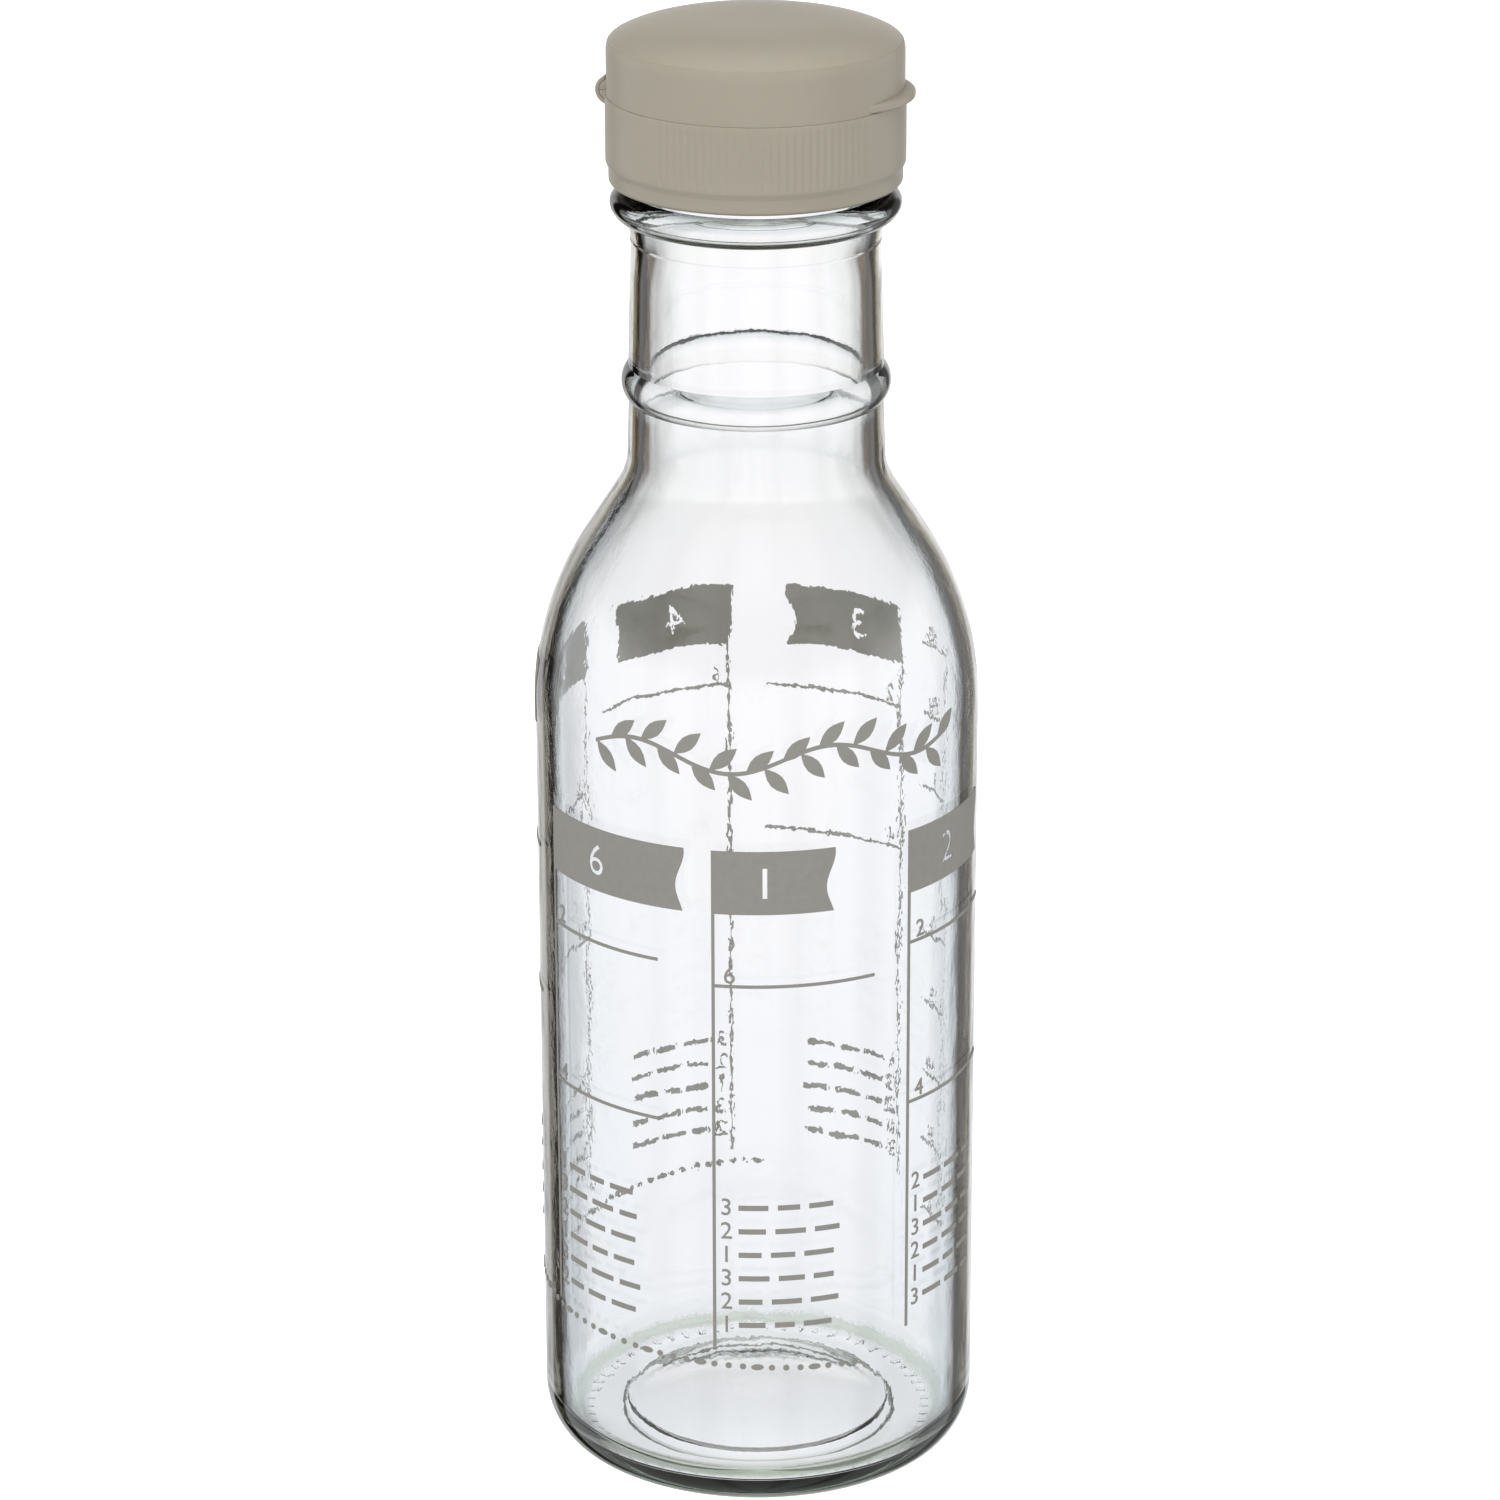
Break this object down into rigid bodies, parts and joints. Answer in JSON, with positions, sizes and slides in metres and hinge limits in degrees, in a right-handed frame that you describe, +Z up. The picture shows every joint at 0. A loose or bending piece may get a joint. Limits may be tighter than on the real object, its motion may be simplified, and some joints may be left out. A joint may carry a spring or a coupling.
{
  "type": "salad dressing shaker bottle",
  "caption": "Ring-necked clear glass bottle with a printed measuring chart and a ribbed screw closure with a hinged flip lid, for mixing, shaking and pouring dressing.",
  "frame": {"origin": "middle of the base, on the surface that the bottle stands on", "axes": "+Z up along the bottle's axis, +X towards the thumb tab of the lid, hinge of the lid on the -X side"},
  "size_m": [0.0622, 0.0622, 0.2084],
  "materials": {
    "glass": "clear flint glass, blown and fire polished",
    "closure_plastic": "taupe grey moulded polypropylene, satin",
    "washer_foam": "white foamed polyethylene",
    "enamel": "warm grey enamel print, fired on"
  },
  "bodies": {
    "bottle": {"glass_bottle": "glass", "print_column_1": "enamel", "print_column_2": "enamel", "print_scale": "enamel", "print_column_3": "enamel", "print_column_4": "enamel", "print_column_5": "enamel", "print_column_6": "enamel", "print_garland": "enamel", "print_foot_ring": "enamel"},
    "washer": {"seal_washer": "washer_foam"},
    "closure": {"cap_base": "closure_plastic", "hinge_strap": "closure_plastic"},
    "lid": {"flip_lid": "closure_plastic"}
  },
  "joints": [
    {"name": "cap_lift", "type": "slide", "parent": "bottle", "child": "washer", "axis": [0, 0, 1], "range_m": [0, 0.0128]},
    {"name": "cap_turn", "type": "hinge", "parent": "washer", "child": "closure", "pos_m": [0, 0, 0.19], "axis": [0, 0, 1], "range_deg": [0, 1080]},
    {"name": "lid_flip", "type": "hinge", "parent": "closure", "child": "lid", "pos_m": [-0.02105, 0, 0.19857], "axis": [0, -1, 0], "range_deg": [0, 165], "deforming": ["hinge_strap"]}
  ],
  "couplings": [
    {"joint": "cap_lift", "follows": "cap_turn", "m_per_rad": 0.00067371}
  ]
}
